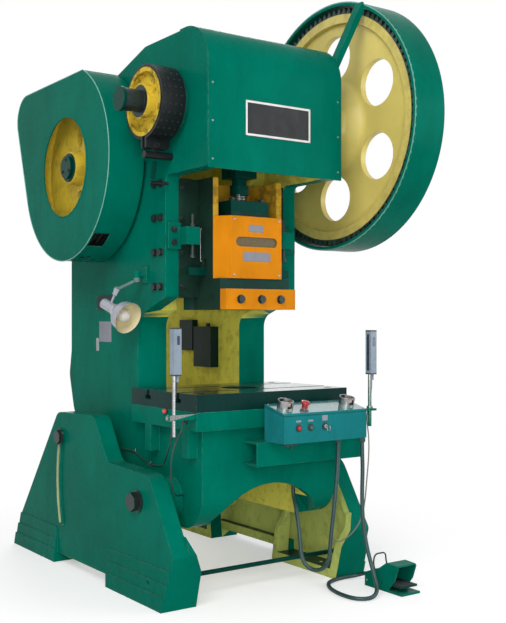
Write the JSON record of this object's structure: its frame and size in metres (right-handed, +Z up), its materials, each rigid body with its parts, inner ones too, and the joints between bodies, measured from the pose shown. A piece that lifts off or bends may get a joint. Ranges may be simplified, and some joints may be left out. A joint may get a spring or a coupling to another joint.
{
  "type": "mechanical stamping press",
  "caption": "Open-back inclinable crank press with exposed gear and flywheel drive, bolster, slide with knock-out, palm-button box, light curtain, work lamp and foot switch.",
  "frame": {"origin": "on the floor, in the middle of the four anchor holes in the legs' feet", "axes": "+X to the operator's right, +Y to the back of the press, +Z up"},
  "size_m": [1.156, 1.6755, 2.375],
  "materials": {
    "belt_rubber": "matt",
    "black_paint": "satin",
    "black_plastic": "satin",
    "bright_steel": "satin",
    "bronze": "satin",
    "cable_black": "satin",
    "conduit_grey": "satin",
    "dark_steel": "satin",
    "gear_steel": "satin",
    "green_paint": "gloss",
    "green_plastic": "gloss",
    "grey_plastic": "satin",
    "lamp_white": "satin",
    "orange_paint": "satin",
    "red_plastic": "gloss",
    "yellow_paint": "gloss",
    "zinc": "satin"
  },
  "bodies": {
    "base": {"right_leg": "green_paint", "left_leg": "green_paint", "tie_rod": "dark_steel", "pivot_bolts": "dark_steel", "foot_switch": "green_paint", "foot_switch_handle": "zinc", "pedal_conduit": "conduit_grey"},
    "frame": {"frame_casting": "green_paint", "clamp_bolts": "dark_steel", "bolster_plate": "dark_steel", "gibs": "dark_steel", "frame_screws": "dark_steel", "knockout_stops": "black_paint", "bearings": "bronze", "crank_hood": "green_paint", "brake_band": "black_paint", "brake_spring": "zinc", "drive_belts": "belt_rubber", "motor": "green_paint", "belt_guard": "green_paint", "gear_guard": "green_paint", "brackets": "green_paint", "box_bracket": "green_paint", "control_box": "green_paint", "light_curtain_heads": "grey_plastic", "light_curtain_mounts": "zinc", "lamp_bracket": "lamp_white", "box_conduit": "conduit_grey", "left_head_cable": "cable_black", "left_table_cable": "cable_black", "right_head_cable": "cable_black", "switch_boxes": "grey_plastic"},
    "crank": {"crankshaft": "bright_steel", "clutch_key": "bright_steel", "crank_end_caps": "dark_steel", "brake_drum": "yellow_paint"},
    "rod": {"connecting_rod": "green_paint", "rod_cap": "green_paint", "ball_screw": "bright_steel"},
    "slide": {"slide_block": "green_paint", "shank_clamp": "orange_paint", "slide_bolts": "dark_steel", "slide_cover": "orange_paint", "ball_seat_cap": "green_paint"},
    "knockout": {"knockout_bar": "bright_steel"},
    "gear": {"main_gear": "gear_steel", "gear_bush": "bronze"},
    "shaft": {"drive_shaft": "bright_steel", "pinion": "gear_steel", "flywheel": "gear_steel"},
    "motor_shaft": {"motor_rotor": "bright_steel"},
    "left_palm": {"left_palm_button": "green_plastic"},
    "right_palm": {"right_palm_button": "green_plastic"},
    "stop": {"stop_button": "red_plastic"},
    "red": {"red_button": "red_plastic"},
    "green": {"green_button": "green_plastic"},
    "key_switch": {"key": "bright_steel"},
    "lamp_arm": {"lamp_arm": "lamp_white"},
    "lamp_head": {"lamp_head": "lamp_white"},
    "pedal": {"foot_pedal": "black_plastic"}
  },
  "joints": [
    {"name": "frame_tilt", "type": "hinge", "parent": "base", "child": "frame", "pos_m": [0, -0.46, 0.366], "axis": [-1, 0, 0], "range_deg": [0, 30]},
    {"name": "crank_turn", "type": "hinge", "parent": "frame", "child": "crank", "pos_m": [0, -0.46, 1.855], "axis": [-1, 0, 0], "range_deg": [0, 180]},
    {"name": "slide_stroke", "type": "slide", "parent": "frame", "child": "slide", "axis": [0, 0, -1], "range_m": [0, 0.13]},
    {"name": "rod_swing", "type": "hinge", "parent": "crank", "child": "rod", "pos_m": [0, -0.46, 1.92], "axis": [-1, 0, 0], "range_deg": [-180, 0]},
    {"name": "knockout_lift", "type": "slide", "parent": "slide", "child": "knockout", "axis": [0, 0, 1], "range_m": [0, 0.034]},
    {"name": "gear_spin", "type": "hinge", "parent": "frame", "child": "gear", "pos_m": [0, -0.46, 1.855], "axis": [1, 0, 0], "continuous": true},
    {"name": "shaft_spin", "type": "hinge", "parent": "frame", "child": "shaft", "pos_m": [0, 0.12467, 1.68], "axis": [1, 0, 0], "continuous": true},
    {"name": "motor_spin", "type": "hinge", "parent": "frame", "child": "motor_shaft", "pos_m": [0, 0.515, 1.943], "axis": [1, 0, 0], "continuous": true},
    {"name": "left_palm_press", "type": "slide", "parent": "frame", "child": "left_palm", "axis": [0, 0.2425, -0.9701], "range_m": [0, 0.006], "stiffness_N_per_m": 600, "springref_m": -0.01},
    {"name": "right_palm_press", "type": "slide", "parent": "frame", "child": "right_palm", "axis": [0, 0.2425, -0.9701], "range_m": [0, 0.006], "stiffness_N_per_m": 600, "springref_m": -0.01},
    {"name": "stop_press", "type": "slide", "parent": "frame", "child": "stop", "axis": [0, 0.2425, -0.9701], "range_m": [0, 0.005]},
    {"name": "red_press", "type": "slide", "parent": "frame", "child": "red", "axis": [0, 1, 0], "range_m": [0, 0.004], "stiffness_N_per_m": 600, "springref_m": -0.01},
    {"name": "green_press", "type": "slide", "parent": "frame", "child": "green", "axis": [0, 1, 0], "range_m": [0, 0.004], "stiffness_N_per_m": 600, "springref_m": -0.01},
    {"name": "key_turn", "type": "hinge", "parent": "frame", "child": "key_switch", "pos_m": [0.1085, -0.86, 0.646], "axis": [0, 1, 0], "range_deg": [0, 90]},
    {"name": "lamp_arm_swing", "type": "hinge", "parent": "frame", "child": "lamp_arm", "pos_m": [-0.349, -0.254, 1.198], "axis": [0, 0, 1], "range_deg": [-40, 40]},
    {"name": "lamp_head_tilt", "type": "hinge", "parent": "lamp_arm", "child": "lamp_head", "pos_m": [-0.41, -0.198, 1.16], "axis": [-0.5836, -0.7826, -0.2165], "range_deg": [-20, 10]},
    {"name": "pedal_press", "type": "hinge", "parent": "base", "child": "pedal", "pos_m": [0.42, -0.882, 0.03], "axis": [1, 0, 0], "range_deg": [0, 8], "stiffness_Nm_per_rad": 20, "springref_deg": -11.46}
  ],
  "couplings": [
    {"joint": "slide_stroke", "follows": "crank_turn", "m_per_rad": 0.04138},
    {"joint": "rod_swing", "follows": "crank_turn", "ratio": -1},
    {"joint": "shaft_spin", "follows": "gear_spin", "ratio": -4.0833},
    {"joint": "motor_spin", "follows": "gear_spin", "ratio": -18.12}
  ]
}
